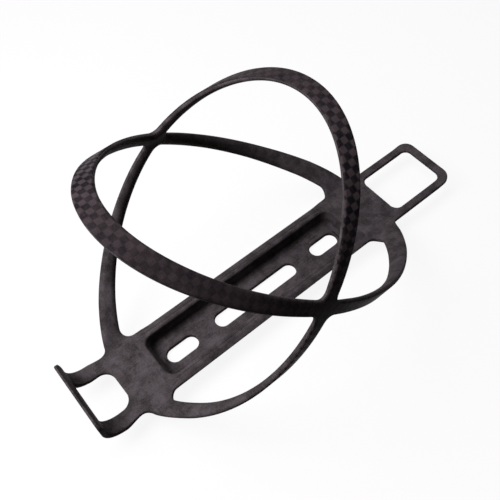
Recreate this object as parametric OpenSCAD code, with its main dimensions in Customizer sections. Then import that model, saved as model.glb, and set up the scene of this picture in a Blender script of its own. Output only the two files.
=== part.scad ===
// Carbon fibre water bottle cage for a bicycle frame.
// The cage lies on its back: X runs along the bottle from its base to its mouth,
// Y across the cage, and Z from the mounting face up to the bottle.
// The origin is the middle of the bolt pattern, on the face that meets the frame tube.
//
// The whole cage is one curved sheet. A point on the sheet is given by x and by s, the
// distance along the sheet's cross-section from its back centre line: flat back plate,
// crease, straight leg, then the round seat that holds the bottle, and so to the front.

/* [Bottle seat] */
// Diameter of the bottle
bottle_d = 74; // [62:0.5:90]
// Gap between the bottle and the laminate, on the radius
bottle_gap = 0.6; // [0.2:0.1:1.2]
// Inner radius of the crease between the back plate and an arm
crease_r = 4; // [2.5:0.1:6]

/* [Laminate] */
// Thickness of the structural laminate
laminate_t = 1.8; // [1.2:0.1:2.6]
// Thickness of the woven outer skin
skin_t = 0.25; // [0.2:0.05:0.5]

/* [Bolt slots] */
// Distance between the two bolts
bolt_pitch = 64; // [50:0.5:80]
// Width of each slot, for an M5 bolt
slot_w = 5.6; // [5.2:0.1:7]
// Length of a bolt slot, end to end
bolt_slot_l = 12; // [8:0.1:16]
// Floor between a bolt slot and the middle slot
slot_bridge = 8.2; // [4:0.1:12]

/* [Back plate] */
// Width of the pocket inside
pocket_w = 15.6; // [12:0.1:19]
// Depth of the pocket, from the rim down to its floor
pocket_depth = 6.1; // [3:0.1:10]
// Radius of the pocket's corners in plan
pocket_corner_r = 3; // [2:0.1:4]
// Floor between a bolt slot and the pocket's lower end
floor_lower_l = 3; // [1:0.1:8]
// Floor between a bolt slot and the pocket's upper end
floor_upper_l = 2; // [1:0.1:8]
// Width of the flange on each side of the pocket
flange_w = 4.2; // [3:0.1:6]
// Flange from the end wall of the pocket to a shoulder
flange_end_l = 1.2; // [0.5:0.1:4]

/* [Shoulders] */
// Upper shoulder from the back plate to an arm's fillet
upper_inner_l = 3.7; // [0.5:0.1:8]
// Upper shoulder from an arm's fillet to the tongue
upper_outer_l = 2.1; // [0.5:0.1:8]
// Lower shoulder from the back plate to an arm's fillet
lower_inner_l = 1.4; // [0.5:0.1:8]
// Lower shoulder from an arm's fillet to the toe
lower_outer_l = 1.8; // [0.5:0.1:8]
// Radius of an arm's root fillet on the side of the back plate
root_inner_r = 3.4; // [1.5:0.1:4.2]
// Radius of an arm's root fillet on the side of the tongue or toe
root_outer_r = 3; // [1:0.1:4]
// Radius of the inner corners of the tongue's window and of the toe's opening
opening_corner_r = 3; // [1.5:0.1:3.6]

/* [Tongue] */
// Length of the tongue past the shoulder, measured flat
tongue_l = 23.4; // [18:0.1:40]
// Straight part of the tongue's window inside the shoulder
window_lap = 0.6; // [0.2:0.1:3]
// Width of each bar of the tongue
tongue_bar_w = 3; // [2:0.1:4]
// Outer corner radius of the tongue
tongue_corner_r = 4.2; // [3.5:0.1:6]
// Flat length between the curl and the tongue's corners
curl_flat_l = 0.6; // [0.2:0.1:4]
// Radius of the curl, to the laminate's mid-surface
curl_r = 18; // [12:1:24]
// Angle by which the tongue's end curls towards the bottle
curl_angle = 10; // [4:1:20]

/* [Toe] */
// Straight part of the toe's opening inside the shoulder
toe_lap = 1.2; // [0.2:0.1:3]
// How far each toe strap stands out past the shoulder's side
toe_flare = 0.8; // [0:0.1:1.6]
// Width of each strap
strap_w = 5.5; // [4:0.1:7]
// Flat length of a strap before its bend
strap_flat_l = 0.6; // [0.2:0.1:6]
// Outer radius of the bend that turns the straps up
toe_bend_r = 8; // [4:0.1:12]
// Upright length of a strap between its bend and the shelf
strap_upright_l = 1.7; // [0.2:0.1:8]
// Height of the shelf bar
shelf_h = 5.5; // [3:0.1:8]
// Radius of the shelf's upper corners
shelf_corner_r = 2.6; // [1:0.1:3]

/* [Loops] */
// Where the lower loop crosses the front, opposite the back plate
lower_front_x = -42.2; // [-60:0.1:-30]
// How far the lower loop leans out towards the tongue at its roots
lower_root_lean = 2.2; // [0:0.1:4]
// Where the upper loop crosses the front
upper_front_x = 21; // [10:0.1:34]
// How far the upper loop bends off its plane
upper_wave = 0.7; // [0:0.1:1.5]
// Width of the lower loop at the front
lower_front_w = 6; // [4:0.1:10]
// Width of the lower loop at the sides
lower_side_w = 4.2; // [3:0.1:6]
// Width of the lower loop where it leaves the upper shoulder
lower_root_w = 7.8; // [5:0.1:10]
// Width of the upper loop at the front
upper_front_w = 5.3; // [4:0.1:10]
// Width of the upper loop at the sides
upper_side_w = 4; // [3:0.1:6]
// Width of the upper loop where it leaves the lower shoulder
upper_root_w = 6.4; // [5:0.1:9]
// Gap between the two loops where a crossing piece ends
crossing_gap = 5; // [3:0.1:7]
// Radius of the fillets in a crossing
crossing_r = 2.6; // [1:0.1:3.2]

/* [Hidden] */

laminate_colour = "#2b292c";
skin_colour = "#3a383c";
rad = 180 / PI;
row_step = 2.2;      // distance between the rows of a wrapped piece
columns = 4;         // cells across a wrapped piece
arc_steps = 6;       // cells along a fillet
star_rings = 4;      // rings from the middle of a crossing to its outline

plate_w = pocket_w + 2 * flange_w;
half_w = plate_w / 2;
middle_slot_l = bolt_pitch - bolt_slot_l - 2 * slot_bridge;
toe_w = plate_w + 2 * toe_flare;

// Stations along X, from the bolts outwards to each end.
pocket_upper_x = bolt_pitch / 2 + bolt_slot_l / 2 + floor_upper_l;
plate_upper_x = pocket_upper_x + laminate_t + flange_end_l;
upper_root_x = plate_upper_x + upper_inner_l + root_inner_r + lower_root_w / 2;
shoulder_upper_x = upper_root_x + lower_root_w / 2 + root_outer_r + upper_outer_l;
window_x = shoulder_upper_x - opening_corner_r - window_lap;
tongue_x = shoulder_upper_x + tongue_l;
pocket_lower_x = -bolt_pitch / 2 - bolt_slot_l / 2 - floor_lower_l;
plate_lower_x = pocket_lower_x - laminate_t - flange_end_l;
lower_root_x = plate_lower_x - lower_inner_l - root_inner_r - upper_root_w / 2;
shoulder_lower_x = lower_root_x - upper_root_w / 2 - root_outer_r - lower_outer_l;
toe_opening_x = shoulder_lower_x + opening_corner_r + toe_lap;
toe_x = shoulder_lower_x - strap_flat_l - toe_bend_r;

// Half way round, each loop is midway between its root and its front.
lower_side_x = (upper_root_x - lower_root_lean + lower_front_x) / 2;
upper_side_x = (lower_root_x + upper_front_x) / 2;

// Heights.
shelf_z = pocket_depth + toe_bend_r + strap_upright_l;
flange_z = pocket_depth + laminate_t / 2;                  // mid-surface of the flat back
seat_r = bottle_d / 2 + bottle_gap + laminate_t / 2;       // mid-surface of the seat
seat_z = flange_z + seat_r;                                // bottle axis
crease_y = half_w / (1 - crease_r / seat_r);               // sharp corner of the crease
crease_a = 2 * atan(crease_y / seat_r);
crease_end = half_w + crease_r * crease_a / rad;
seat_start = crease_end + half_w;
front_s = seat_start + seat_r * (180 - crease_a) / rad;    // the front centre line

// Heights of a wrapped piece's faces over the mid-surface.
core_in = laminate_t / 2;
core_out = -laminate_t / 2;
skin_out = core_out - skin_t;

// --- the sheet's cross-section ---

// Turn of the sheet at s, from flat at the back to 180 degrees at the front.
function turn(s) =
    s <= half_w ? 0 :
    s <= crease_end ? (s - half_w) / crease_r * rad :
    s <= seat_start ? crease_a :
    crease_a + (s - seat_start) / seat_r * rad;

// Mid-surface [y, z] at s.
function mid(s) =
    s <= half_w ? [s, flange_z] :
    s <= crease_end ? [half_w + crease_r * sin(turn(s)),
                       flange_z + crease_r * (1 - cos(turn(s)))] :
    s <= seat_start ? mid(crease_end) + (s - crease_end) * [cos(crease_a), sin(crease_a)] :
    [seat_r * sin(turn(s)), seat_z - seat_r * cos(turn(s))];

// Point of the sheet at [x, s], h above the mid-surface on the bottle's side.
function wrap(p, h) =
    let (m = mid(p[1]), a = turn(p[1]))
    [p[0], m[0] - h * sin(a), m[1] + h * cos(a)];

// --- the two loops, as centre line, width and edges over s ---

// Angle round the bottle from the back, used by the loops' formulas.
function around(s) = s < seat_start ? crease_a * s / seat_start : turn(s);

function lower_line(s) =
    let (c = cos(around(s)))
    lower_side_x - (lower_front_x - lower_side_x) * c + lower_root_lean * pow(max(0, c), 4);
function upper_line(s) =
    upper_side_x - (upper_front_x - upper_side_x - upper_wave) * cos(around(s))
    - upper_wave * cos(3 * around(s));
function loop_line(upper, s) = upper ? upper_line(s) : lower_line(s);

function loop_w(upper, s) =
    let (side = upper ? upper_side_w : lower_side_w,
         front = upper ? upper_front_w : lower_front_w,
         root = upper ? upper_root_w : lower_root_w,
         c = cos(around(s)))
    side + ((c < 0 ? front : root) - side) * c * c;

function slope(upper, s) = (loop_line(upper, s + 0.1) - loop_line(upper, s - 0.1)) / 0.2;

// Edge of a loop at s: end = 1 is the edge nearer the bottle's mouth, -1 the other.
function edge(upper, end, s) =
    loop_line(upper, s) + end * loop_w(upper, s) / 2 * sqrt(1 + pow(slope(upper, s), 2));

// Root fillet: near the back plate the edge leaves the plate on a circle of radius r
// that is tangent to both.
function root_edge(upper, end, s) =
    let (inner = upper ? 1 : -1,
         r = end == inner ? root_inner_r : root_outer_r,
         lean = atan(slope(upper, half_w + r)) * end,
         top = r * (1 + sin(lean)),
         v = s - half_w)
    v >= top ? edge(upper, end, s) :
    edge(upper, end, half_w + top) + end * (r * cos(lean) - sqrt(max(0, r * r - pow(v - r, 2))));

// Gap along X between the two loops at s.
function separation(s) =
    abs(lower_line(s) - upper_line(s))
    - (edge(true, 1, s) - edge(true, -1, s) + edge(false, 1, s) - edge(false, -1, s)) / 2;

// The s between wide and narrow at which the loops are gap apart, by halving.
function find_gap(wide, narrow, gap, n = 30) =
    let (m = (wide + narrow) / 2)
    n == 0 ? m :
    separation(m) > gap ? find_gap(m, narrow, gap, n - 1) :
    find_gap(wide, m, gap, n - 1);

// The s between back and front at which the two centre lines cross, by halving.
function find_cross(back, front, n = 30) =
    let (m = (back + front) / 2)
    n == 0 ? m :
    lower_line(m) > upper_line(m) ? find_cross(m, front, n - 1) :
    find_cross(back, m, n - 1);

cross_s = find_cross(half_w, front_s);
rear_cut = find_gap(half_w, cross_s, crossing_gap);       // crossing piece, towards the back
front_cut = find_gap(front_s, cross_s, crossing_gap);     // crossing piece, towards the front

// --- wrapped pieces ---

// Closed sheet between heights h0 and h1 over flat points [x, s], from triangles that
// run anticlockwise in x and s, and the outline's point numbers in the same sense.
module sheet(points, triangles, outline, h0, h1) {
    n = len(points);
    k = len(outline);
    inner = [for (t = triangles) [t[0], t[2], t[1]]];
    outer = [for (t = triangles) [t[0] + n, t[1] + n, t[2] + n]];
    wall = [for (i = [0:k - 1]) let (a = outline[i], b = outline[(i + 1) % k])
            each [[a, b, b + n], [a, b + n, a + n]]];
    polyhedron([for (p = points) wrap(p, h1), for (p = points) wrap(p, h0)],
               concat(inner, outer, wall));
}

// Grid of rows by columns + 1 points between the two edges of a band.
function grid_triangles(rows, m) =
    [for (i = [0:rows - 2], j = [0:m - 2])
        let (a = i * m + j, b = a + 1, c = a + m, d = c + 1)
        each [[a, b, d], [a, d, c]]];
function grid_outline(rows, m) = concat(
    [for (j = [0:m - 2]) j],
    [for (i = [0:rows - 2]) i * m + m - 1],
    [for (j = [m - 1:-1:1]) (rows - 1) * m + j],
    [for (i = [rows - 1:-1:1]) i * m]);

module band(upper, from, to, h0, h1) {
    rows = ceil((to - from) / row_step) + 1;
    points = [for (i = [0:rows - 1], j = [0:columns])
        let (s = from + (to - from) * i / (rows - 1),
             a = root_edge(upper, -1, s),
             b = root_edge(upper, 1, s))
        [a + (b - a) * j / columns, s]];
    sheet(points, grid_triangles(rows, columns + 1), grid_outline(rows, columns + 1), h0, h1);
}

// An arm has extra rows where its root fillets are.
module arm(upper, h0, h1) {
    fillet_top = 2 * max(root_inner_r, root_outer_r);
    fine = [for (i = [0:10]) half_w + fillet_top * pow(i / 10, 2)];
    coarse_from = half_w + fillet_top;
    n = ceil((rear_cut - coarse_from) / row_step);
    levels = concat(fine, [for (i = [1:n]) coarse_from + (rear_cut - coarse_from) * i / n]);
    points = [for (s = levels, j = [0:columns])
        let (a = root_edge(upper, -1, s), b = root_edge(upper, 1, s))
        [a + (b - a) * j / columns, s]];
    sheet(points, grid_triangles(len(levels), columns + 1),
          grid_outline(len(levels), columns + 1), h0, h1);
}

// Fillet from p (heading u) round to q (heading v, outwards) through their corner.
function cross2(a, b) = a[0] * b[1] - a[1] * b[0];
function corner(p, u, q, v) = p + u * cross2(q - p, v) / cross2(u, v);
function fillet(p, u, q, v) =
    let (k = corner(p, u, q, v),
         half = acos((p - k) * (q - k) / norm(p - k) / norm(q - k)) / 2,
         t = min(crossing_r / tan(half), 0.95 * norm(p - k), 0.95 * norm(q - k)),
         a = k + (p - k) * t / norm(p - k),
         b = k + (q - k) * t / norm(q - k))
    [for (i = [0:arc_steps]) let (w = i / arc_steps)
        pow(1 - w, 2) * a + 2 * w * (1 - w) * k + w * w * b];

function edge_point(upper, end, s) = [edge(upper, end, s), s];
function edge_dir(upper, end, s) =
    let (d = edge_point(upper, end, s + 0.1) - edge_point(upper, end, s - 0.1)) d / norm(d);
function cut_points(upper, s, from, to) =
    let (a = edge_point(upper, from, s), b = edge_point(upper, to, s))
    [for (j = [0:columns]) a + (b - a) * j / columns];
function edge_fillet(ua, ea, sa, ub, eb, sb) =
    fillet(edge_point(ua, ea, sa), edge_dir(ua, ea, sa), edge_point(ub, eb, sb), edge_dir(ub, eb, sb));

// Outline of a crossing: four cut ends, and a fillet in each of its four notches.
function crossing_outline() = concat(
    cut_points(true, rear_cut, -1, 1),
    edge_fillet(true, 1, rear_cut, false, -1, rear_cut),
    cut_points(false, rear_cut, -1, 1),
    edge_fillet(false, 1, rear_cut, true, 1, front_cut),
    cut_points(true, front_cut, 1, -1),
    edge_fillet(true, -1, front_cut, false, 1, front_cut),
    cut_points(false, front_cut, 1, -1),
    edge_fillet(false, -1, front_cut, true, -1, rear_cut));

module crossing(h0, h1) {
    rim = crossing_outline();
    n = len(rim);
    middle = [lower_line(cross_s), cross_s];
    points = concat(
        [for (r = [star_rings:-1:1], p = rim) middle + (p - middle) * r / star_rings],
        [middle]);
    triangles = concat(
        [for (r = [0:star_rings - 2], i = [0:n - 1])
            let (a = r * n + i, b = r * n + (i + 1) % n)
            each [[a, b, b + n], [a, b + n, a + n]]],
        [for (i = [0:n - 1])
            [(star_rings - 1) * n + i, (star_rings - 1) * n + (i + 1) % n, star_rings * n]]);
    sheet(points, triangles, [for (i = [0:n - 1]) i], h0, h1);
}

// --- flat pieces ---

// Rectangle with rounded corners between two corners given as [x, y].
module rounded(a, b, r) {
    translate([a[0] + r, a[1]])
        square([b[0] - a[0] - 2 * r, b[1] - a[1]]);
    translate([a[0], a[1] + r])
        square([b[0] - a[0], b[1] - a[1] - 2 * r]);
    for (x = [a[0] + r, b[0] - r], y = [a[1] + r, b[1] - r])
        translate([x, y])
            circle(r = r, $fn = 48);
}

module slot(x, length) {
    span = length - slot_w;
    translate([x, 0, -1]) {
        for (end = [-1, 1])
            translate([end * span / 2, 0, 0])
                cylinder(d = slot_w, h = laminate_t + 2, $fn = 48);
        translate([-span / 2, -slot_w / 2, 0])
            cube([span, slot_w, laminate_t + 2]);
    }
}

// The pocket's floor and walls hang below the flange, all one laminate thick.
module back_plate() {
    color(laminate_colour)
        difference() {
            union() {
                translate([plate_lower_x, -half_w, pocket_depth])
                    cube([plate_upper_x - plate_lower_x, plate_w, laminate_t]);
                linear_extrude(pocket_depth + laminate_t / 2)
                    rounded([pocket_lower_x - laminate_t, -pocket_w / 2 - laminate_t],
                            [pocket_upper_x + laminate_t, pocket_w / 2 + laminate_t],
                            pocket_corner_r + laminate_t);
            }
            translate([0, 0, laminate_t])
                linear_extrude(pocket_depth + 1)
                    rounded([pocket_lower_x, -pocket_w / 2],
                            [pocket_upper_x, pocket_w / 2], pocket_corner_r);
            slot(-bolt_pitch / 2, bolt_slot_l);
            slot(0, middle_slot_l);
            slot(bolt_pitch / 2, bolt_slot_l);
        }
}

module upper_shoulder() {
    color(laminate_colour)
        translate([0, 0, pocket_depth])
            linear_extrude(laminate_t)
                difference() {
                    translate([plate_upper_x, -half_w])
                        square([shoulder_upper_x - plate_upper_x, plate_w]);
                    rounded([window_x, -half_w + tongue_bar_w],
                            [tongue_x, half_w - tongue_bar_w], opening_corner_r);
                }
}

module lower_shoulder() {
    color(laminate_colour)
        translate([0, 0, pocket_depth])
            linear_extrude(laminate_t)
                difference() {
                    union() {
                        translate([shoulder_lower_x, -half_w])
                            square([plate_lower_x - shoulder_lower_x, plate_w]);
                        translate([shoulder_lower_x, -toe_w / 2])
                            square([lower_outer_l, toe_w]);
                    }
                    rounded([toe_x, -toe_w / 2 + strap_w],
                            [toe_opening_x, toe_w / 2 - strap_w], opening_corner_r);
                }
}

module tongue_ring() {
    translate([0, 0, pocket_depth])
        linear_extrude(laminate_t)
            difference() {
                rounded([window_x - tongue_corner_r, -half_w], [tongue_x, half_w], tongue_corner_r);
                rounded([window_x - tongue_corner_r, -half_w + tongue_bar_w],
                        [tongue_x - tongue_bar_w, half_w - tongue_bar_w],
                        tongue_corner_r - tongue_bar_w / 2);
            }
}

// Part of the ring between two values of x.
module tongue_slice(from, to) {
    intersection() {
        tongue_ring();
        translate([from, -plate_w, 0])
            cube([to - from, 2 * plate_w, 2 * pocket_depth + laminate_t]);
    }
}

// Both bars bend on curl_r, and the ring's end follows them up.
module tongue_loop() {
    arc = curl_r * curl_angle / rad;
    bend_x = tongue_x - tongue_corner_r - curl_flat_l - arc;
    bend_z = flange_z + curl_r;
    color(laminate_colour)
        union() {
            tongue_slice(shoulder_upper_x, bend_x);
            for (bar = [-half_w, half_w - tongue_bar_w])
                translate([bend_x, 0, bend_z])
                    rotate([90, 0, 0])
                        rotate([0, 0, -90])
                            rotate_extrude(angle = curl_angle, $fn = 180)
                                translate([curl_r - laminate_t / 2, bar])
                                    square([laminate_t, tongue_bar_w]);
            translate([bend_x, 0, bend_z])
                rotate([0, -curl_angle, 0])
                    translate([-bend_x - arc, 0, -bend_z])
                        tongue_slice(bend_x + arc, tongue_x);
        }
}

// Side view of a toe strap: flat, a quarter bend, then upright to the shelf.
module strap_profile() {
    inner_r = toe_bend_r - laminate_t;
    bend_x = toe_x + toe_bend_r;
    bend_z = pocket_depth + toe_bend_r;
    translate([bend_x, pocket_depth])
        square([shoulder_lower_x - bend_x, laminate_t]);
    intersection() {
        difference() {
            translate([bend_x, bend_z])
                circle(r = toe_bend_r, $fn = 72);
            translate([bend_x, bend_z])
                circle(r = inner_r, $fn = 72);
        }
        translate([toe_x, pocket_depth])
            square([toe_bend_r, toe_bend_r]);
    }
    translate([toe_x, bend_z])
        square([laminate_t, strap_upright_l]);
}

module toe_strap(side) {
    color(laminate_colour)
        translate([0, side * (toe_w - strap_w) / 2 + strap_w / 2, 0])
            rotate([90, 0, 0])
                linear_extrude(strap_w)
                    strap_profile();
}

module toe_left_strap() {
    toe_strap(1);
}

module toe_right_strap() {
    toe_strap(-1);
}

module toe_shelf() {
    top = shelf_z + shelf_h;
    color(laminate_colour)
        translate([toe_x, 0, 0])
            rotate([90, 0, 90])
                linear_extrude(laminate_t)
                    intersection() {
                        rounded([-toe_w / 2, top - 2 * shelf_h], [toe_w / 2, top], shelf_corner_r);
                        translate([-toe_w / 2, top - shelf_h])
                            square([toe_w, shelf_h]);
                    }
}

// --- wrapped pieces, by side: side = 1 is the left, -1 the right ---

module on_side(side) {
    if (side > 0)
        children();
    else
        mirror([0, 1, 0])
            children();
}

module core(side) {
    color(laminate_colour)
        on_side(side)
            children();
}

module skin(side) {
    color(skin_colour)
        on_side(side)
            children();
}

module upper_left_arm() core(1) arm(false, core_out, core_in);
module upper_right_arm() core(-1) arm(false, core_out, core_in);
module lower_left_arm() core(1) arm(true, core_out, core_in);
module lower_right_arm() core(-1) arm(true, core_out, core_in);
module left_crossing() core(1) crossing(core_out, core_in);
module right_crossing() core(-1) crossing(core_out, core_in);
module upper_front_band() core(1) band(true, front_cut, 2 * front_s - front_cut, core_out, core_in);
module lower_front_band() core(1) band(false, front_cut, 2 * front_s - front_cut, core_out, core_in);

module upper_left_arm_skin() skin(1) arm(false, skin_out, core_out);
module upper_right_arm_skin() skin(-1) arm(false, skin_out, core_out);
module lower_left_arm_skin() skin(1) arm(true, skin_out, core_out);
module lower_right_arm_skin() skin(-1) arm(true, skin_out, core_out);
module left_crossing_skin() skin(1) crossing(skin_out, core_out);
module right_crossing_skin() skin(-1) crossing(skin_out, core_out);
module upper_band_skin() skin(1) band(true, front_cut, 2 * front_s - front_cut, skin_out, core_out);
module lower_band_skin() skin(1) band(false, front_cut, 2 * front_s - front_cut, skin_out, core_out);

back_plate();
upper_shoulder();
lower_shoulder();
tongue_loop();
toe_left_strap();
toe_right_strap();
toe_shelf();
upper_left_arm();
upper_right_arm();
lower_left_arm();
lower_right_arm();
left_crossing();
right_crossing();
upper_front_band();
lower_front_band();
upper_left_arm_skin();
upper_right_arm_skin();
lower_left_arm_skin();
lower_right_arm_skin();
left_crossing_skin();
right_crossing_skin();
upper_band_skin();
lower_band_skin();
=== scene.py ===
import math
from functools import partial

import bpy
import numpy as np
from mathutils import Matrix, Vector
from mathutils.geometry import delaunay_2d_cdt


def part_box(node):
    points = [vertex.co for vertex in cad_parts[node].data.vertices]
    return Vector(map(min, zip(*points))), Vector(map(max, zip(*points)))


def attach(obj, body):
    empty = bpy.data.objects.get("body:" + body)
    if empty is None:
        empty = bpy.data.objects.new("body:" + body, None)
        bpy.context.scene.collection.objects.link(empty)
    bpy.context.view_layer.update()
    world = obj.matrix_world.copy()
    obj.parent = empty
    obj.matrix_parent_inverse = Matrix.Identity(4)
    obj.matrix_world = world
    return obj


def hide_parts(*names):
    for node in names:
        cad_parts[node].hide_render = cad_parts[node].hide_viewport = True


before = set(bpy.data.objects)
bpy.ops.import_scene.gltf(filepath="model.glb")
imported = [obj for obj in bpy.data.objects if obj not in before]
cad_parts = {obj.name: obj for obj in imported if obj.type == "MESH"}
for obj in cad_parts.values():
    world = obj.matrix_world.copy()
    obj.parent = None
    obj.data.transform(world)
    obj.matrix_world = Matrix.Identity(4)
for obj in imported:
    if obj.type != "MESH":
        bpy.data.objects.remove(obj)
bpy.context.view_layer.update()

# Carbon fibre water bottle cage. Lengths are in millimetres until a mesh, the camera or a lamp is made.
# The cage is one curved sheet: a point on it is (x, s), x along the bottle and s round it from the
# middle of the back, and every piece is a patch of that sheet with a height h on either side.

mm = 0.001
link = bpy.context.scene.collection.objects.link


def cad(node):
    # A node's lowest and highest corners, in mm.
    low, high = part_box(node)
    return np.array(low) / mm, np.array(high) / mm


plateLow, plateHigh = cad("back_plate")
mouthLow, mouthHigh = cad("upper_shoulder")
shelfLow, shelfHigh = cad("toe_shelf")
baseX = cad("lower_shoulder")[0][0]
bandTop = cad("upper_front_band")[1][2]
mouthX = mouthHigh[0]

cameraSettings = {
    "aim": (-1.518, 0.148, 31.8),  # middle of the view, mm
    "distance": 198.712,           # mm from there
    "tilt": 27.113,                # degrees off straight down
    "pan": -18.631,
    "roll": -35.389,
    "lens": 46.04,                 # mm on a 36 mm sensor
    "nearest": 10.0,               # nothing closer than this is drawn, mm
}


def stand(thing, sideways, up, back, at):
    # Puts a camera or a lamp at a point in metres, so that it looks the opposite way to back.
    rows = np.eye(4)
    rows[:3] = np.stack([sideways, up, back, at], 1)
    thing.matrix_world = Matrix(rows.tolist())
    link(thing)


def addCamera(c):
    # Looks straight down, then turns by the tilt, the pan and the roll, each about its own axis.
    turned = np.eye(3)
    for key, axis in (("tilt", "X"), ("pan", "Y"), ("roll", "Z")):
        turned = turned @ np.array(Matrix.Rotation(math.radians(c[key]), 3, axis))
    right, up, back = turned.T
    camera = bpy.data.objects.new("camera", bpy.data.cameras.new("camera"))
    camera.data.lens = c["lens"]
    camera.data.clip_start = c["nearest"] * mm
    stand(camera, right, up, back, (np.array(c["aim"]) + back * c["distance"]) * mm)
    bpy.context.scene.camera = camera


addCamera(cameraSettings)
print("camera set")

sheet = {
    "creaseR": 4.0,     # inner bend where an arm leaves the flat back
    "edgeWide": 0.6,    # rounding of every free edge, in from the edge
    "edgeDeep": 0.5,    # and down from the face
    "curlR": 18.0,      # tongue's curl, to the middle of the laminate
    "curlAngle": 10.0,  # degrees
    "curlEnd": 4.8,     # flat length past the curl
    "tongueEnd": 86.4,  # measured along the sheet
    "toeBendR": 8.0,    # outer radius of the bend that turns the toe up
}
thick = mouthHigh[2] - mouthLow[2]
flangeZ = (mouthHigh[2] + mouthLow[2]) / 2
halfW = plateHigh[1]
seatR = (bandTop - thick / 2 - flangeZ) / 2
seatZ = flangeZ + seatR
creaseY = halfW / (1 - sheet["creaseR"] / seatR)
creaseA = 2 * math.atan(creaseY / seatR)
creaseEnd = halfW + sheet["creaseR"] * creaseA
seatStart = creaseEnd + halfW
frontS = seatStart + seatR * (math.pi - creaseA)

tongueEnd = sheet["tongueEnd"]
curlX = tongueEnd - sheet["curlEnd"] - sheet["curlR"] * math.radians(sheet["curlAngle"])
toeR = sheet["toeBendR"] - thick / 2
toeBendX = shelfLow[0] + sheet["toeBendR"]
quarter = toeR * math.pi / 2
shelfStart = toeBendX - quarter - (shelfLow[2] - flangeZ - toeR)
toeEnd = toeBendX - quarter - (shelfHigh[2] - flangeZ - toeR)


def turn(s):
    # Angle of the sheet at s: 0 on the flat back, growing evenly in the crease, constant on the
    # straight leg, then growing as arc length over seat radius.
    a = np.clip((s - halfW) / sheet["creaseR"], 0, creaseA)
    return a + np.maximum(s - seatStart, 0) / seatR


def middle(s):
    # Mid-surface (y, z) at s: flat, crease arc, straight leg, then the circle round the bottle.
    r = sheet["creaseR"]
    a = np.clip((s - halfW) / r, 0, creaseA)
    leg = np.clip(s - creaseEnd, 0, halfW)
    y = np.minimum(s, halfW) + r * np.sin(a) + leg * math.cos(creaseA)
    z = flangeZ + r * (1 - np.cos(a)) + leg * math.sin(creaseA)
    a = turn(s)
    onCircle = s > seatStart
    return np.where(onCircle, seatR * np.sin(a), y), np.where(onCircle, seatZ - seatR * np.cos(a), z)


def bendUp(d, h, r, most):
    # Flat strip turned up on radius r from d = 0 by at most an angle: along is (r - h) sin, up is
    # r - (r - h) cos, and what is left runs on straight.
    a = np.clip(d / r, 0, most)
    rest = np.maximum(d - r * most, 0)
    along = np.minimum(d, 0) + (r - h) * np.sin(a) + rest * math.cos(most)
    up = r - (r - h) * np.cos(a) + rest * math.sin(most)
    return along, up


def place(flat, h):
    # Point of the sheet at (x, s), h above its middle on the bottle's side, in mm.
    x, side, s = flat[:, 0], np.where(flat[:, 1] < 0, -1.0, 1.0), np.abs(flat[:, 1])
    a = turn(s)
    y, z = middle(s)
    y, z = y - h * np.sin(a), z + h * np.cos(a)
    outward, lift = bendUp(x - curlX, h, sheet["curlR"], math.radians(sheet["curlAngle"]))
    curled = x > curlX
    inward, rise = bendUp(toeBendX - x, h, toeR, math.pi / 2)
    turned = x < toeBendX
    newX = np.where(curled, curlX + outward, np.where(turned, toeBendX - inward, x))
    newZ = np.where(curled, flangeZ + lift, np.where(turned, flangeZ + rise, z))
    return np.stack([newX, side * y, newZ], 1)


loops = {
    "lower": {
        "root": plateHigh[0] + 11.0,    # where the centre line leaves the back
        "front": -42.2,  # and where it crosses the front
        "lean": 2.2,     # how far the root leans out towards the bottle's mouth
        "wave": 0.0,     # bow of the sides between root and front
        "rootW": 7.8,    # widths at the root, half way round and at the front
        "sideW": 4.2,
        "frontW": 6.0,
        "inner": -1,     # which edge faces the back plate
        "outerR": 1.2,   # root fillet on the other edge
    },
    "upper": {
        "root": plateLow[0] - 8.0,
        "front": 21.0,
        "lean": 0.0,
        "wave": 0.7,
        "rootW": 6.4,
        "sideW": 4.0,
        "frontW": 5.3,
        "inner": 1,
        "outerR": 3.0,
    },
}
joinSettings = {
    "rootInner": 3.4,   # fillet radius on the back plate's side of an arm
    "gap": 5.0,         # between the loops where a crossing piece ends
    "notch": 2.6,       # fillet radius in a crossing
    "notchMost": 0.95,  # and the share of its sides that it may take
}


def around(s):
    # Angle round the loop: even along the flat and the crease, then as the sheet turns.
    return np.where(s < seatStart, creaseA * s / seatStart, turn(s))


def mirrorS(s):
    # The left half's s for a point past the middle of the front.
    return np.where(s > frontS, 2 * frontS - s, s)


def line(loop, s):
    # Centre line: side - (front - side - wave) cos a - wave cos 3a + lean cos^4 a at the back.
    side = (loop["root"] - loop["lean"] + loop["front"]) / 2
    c = np.cos(around(s))
    return (side - (loop["front"] - side - loop["wave"]) * c - loop["wave"] * np.cos(3 * around(s))
            + loop["lean"] * np.maximum(0, c) ** 4)


def width(loop, s):
    # Width: side + (end - side) cos^2 a, where end is the front's or the root's.
    c = np.cos(around(s))
    end = np.where(c < 0, loop["frontW"], loop["rootW"])
    return loop["sideW"] + (end - loop["sideW"]) * c * c


def slope(loop, s, step=0.1):
    # How fast the centre line moves along the bottle as s grows.
    return (line(loop, s + step) - line(loop, s - step)) / (2 * step)


def edge(loop, end, s, inset=0.0):
    # Edge of a loop, end = 1 towards the bottle's mouth. By the back plate it leaves on a circle
    # tangent to both, as an arm's root fillet.
    def plain(q):
        return line(loop, q) + end * (width(loop, q) / 2 - inset) * np.sqrt(1 + slope(loop, q) ** 2)
    r = joinSettings["rootInner"] if end == loop["inner"] else loop["outerR"]
    lean = np.arctan(slope(loop, halfW + r)) * end
    top = r + (r + inset) * np.sin(lean)
    v = s - halfW
    centre = plain(halfW + top) + end * (r + inset) * np.cos(lean)
    fillet = centre - end * np.sqrt(np.maximum(0, (r + inset) ** 2 - (v - r) ** 2))
    return np.where(v >= top, plain(s), fillet)


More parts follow.
